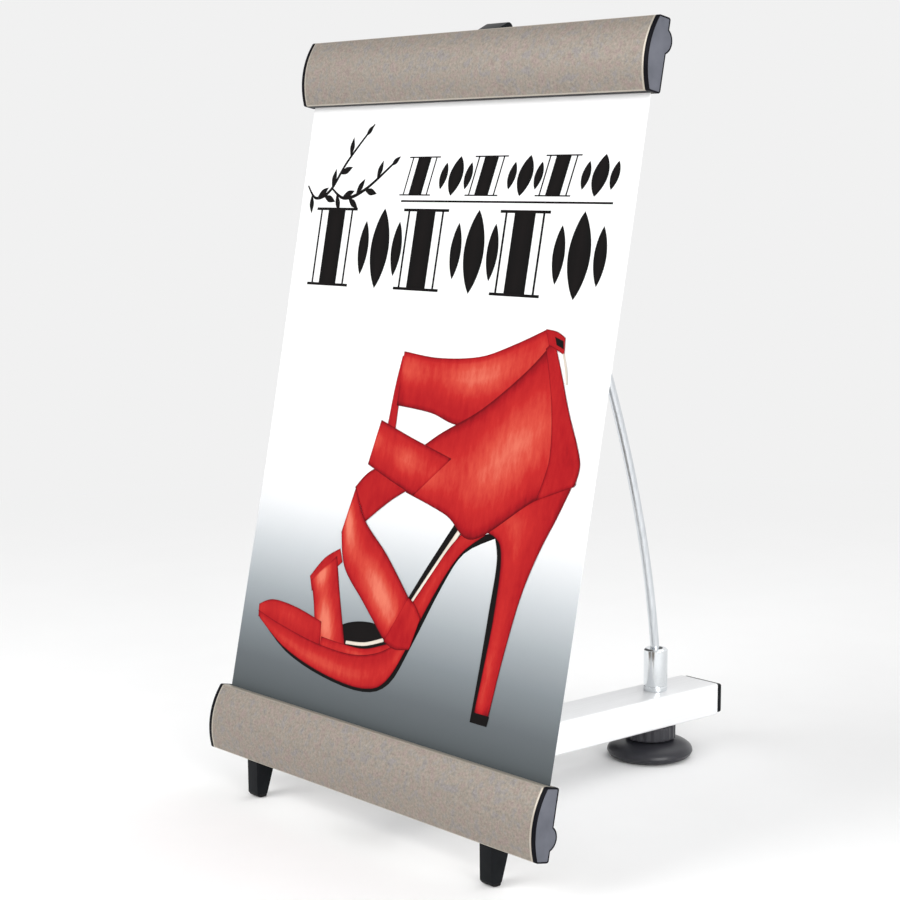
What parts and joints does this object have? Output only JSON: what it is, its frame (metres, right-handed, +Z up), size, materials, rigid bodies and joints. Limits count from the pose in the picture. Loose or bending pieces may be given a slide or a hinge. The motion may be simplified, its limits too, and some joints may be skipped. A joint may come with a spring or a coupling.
{
  "type": "roll-up banner stand",
  "caption": "Table-top roll-up banner stand: a spring-roller cassette, a leaning banner with a top rail, a rear arm with a levelling foot, and a bent springy rod holding the rail up.",
  "frame": {"origin": "on the table, under the middle of the stand's bounding box", "axes": "+X along the rails to the right seen from the front, +Y to the rear along the arm, +Z up"},
  "size_m": [0.3058, 0.308, 0.4813],
  "materials": {
    "anodised_aluminium": "satin anodised, warm grey-beige, fine speckle",
    "white_aluminium": "satin white",
    "cap_plastic": "fine matte, blue-grey",
    "black_plastic": "semi-gloss black",
    "rubber": "matte black",
    "chrome": "polished",
    "steel": "zinc-plated",
    "nylon": "natural",
    "banner_film": "matte printed film, white at the top fading to dark grey"
  },
  "bodies": {
    "cassette": {"cassette_shell": "anodised_aluminium", "cassette_cap_left": "cap_plastic", "cassette_cap_right": "cap_plastic", "idle_pin": "steel", "spring_axle": "steel", "banner_sheet": "banner_film", "front_foot_left": "black_plastic", "front_foot_right": "black_plastic", "foot_screw_left": "steel", "foot_screw_right": "steel", "foot_pad_left": "rubber", "foot_pad_right": "rubber", "arm_bracket": "black_plastic", "flange_screw_left_1": "steel", "flange_screw_left_2": "steel", "flange_screw_right_1": "steel", "flange_screw_right_2": "steel", "arm_tube": "white_aluminium", "tube_screw_1": "steel", "tube_screw_2": "steel", "arm_end_cap": "black_plastic", "foot_nut": "steel", "rod_socket": "chrome"},
    "roller": {"roller_tube": "steel", "idle_plug": "nylon", "spring_bush": "nylon", "spring_plug": "nylon", "roller_spring": "steel", "banner_winding": "banner_film"},
    "top_rail": {"top_rail_shell": "anodised_aluminium", "top_cap_left": "cap_plastic", "top_cap_right": "cap_plastic", "gripper_strip": "black_plastic", "hanger_clip": "black_plastic", "hanger_screw_left": "steel", "hanger_screw_right": "steel"},
    "rod": {"flex_rod": "chrome"},
    "foot_pad": {"rear_foot_pad": "black_plastic"},
    "foot_hub": {"rear_foot_hub": "black_plastic", "rear_foot_stud": "steel", "rear_foot_ring": "steel"}
  },
  "joints": [
    {"name": "banner_retract", "type": "slide", "parent": "cassette", "child": "top_rail", "axis": [0, -0.2053, -0.9787], "range_m": [0, 0.376], "deforming": ["banner_sheet"]},
    {"name": "roller_spin", "type": "hinge", "parent": "cassette", "child": "roller", "pos_m": [0, -0.1447, 0.03622], "axis": [1, 0, 0], "range_deg": [0, 4000], "deforming": ["roller_spring"]},
    {"name": "rod_flex", "type": "hinge", "parent": "cassette", "child": "rod", "pos_m": [0, 0.10524, 0.06492], "axis": [-1, 0, 0], "range_deg": [0, 20.7], "deforming": ["flex_rod"]},
    {"name": "foot_travel", "type": "slide", "parent": "cassette", "child": "foot_pad", "axis": [0, -0.0148, -0.9999], "range_m": [0, 0.005]},
    {"name": "foot_turn", "type": "hinge", "parent": "foot_pad", "child": "foot_hub", "pos_m": [0, 0.09984, 0.0175], "axis": [0, -0.0148, -0.9999], "range_deg": [0, 1441]}
  ],
  "couplings": [
    {"joint": "roller_spin", "follows": "banner_retract", "rad_per_m": 185},
    {"joint": "rod_flex", "follows": "banner_retract", "rad_per_m": 0.9557},
    {"joint": "foot_turn", "follows": "foot_travel", "rad_per_m": 5026.5}
  ]
}
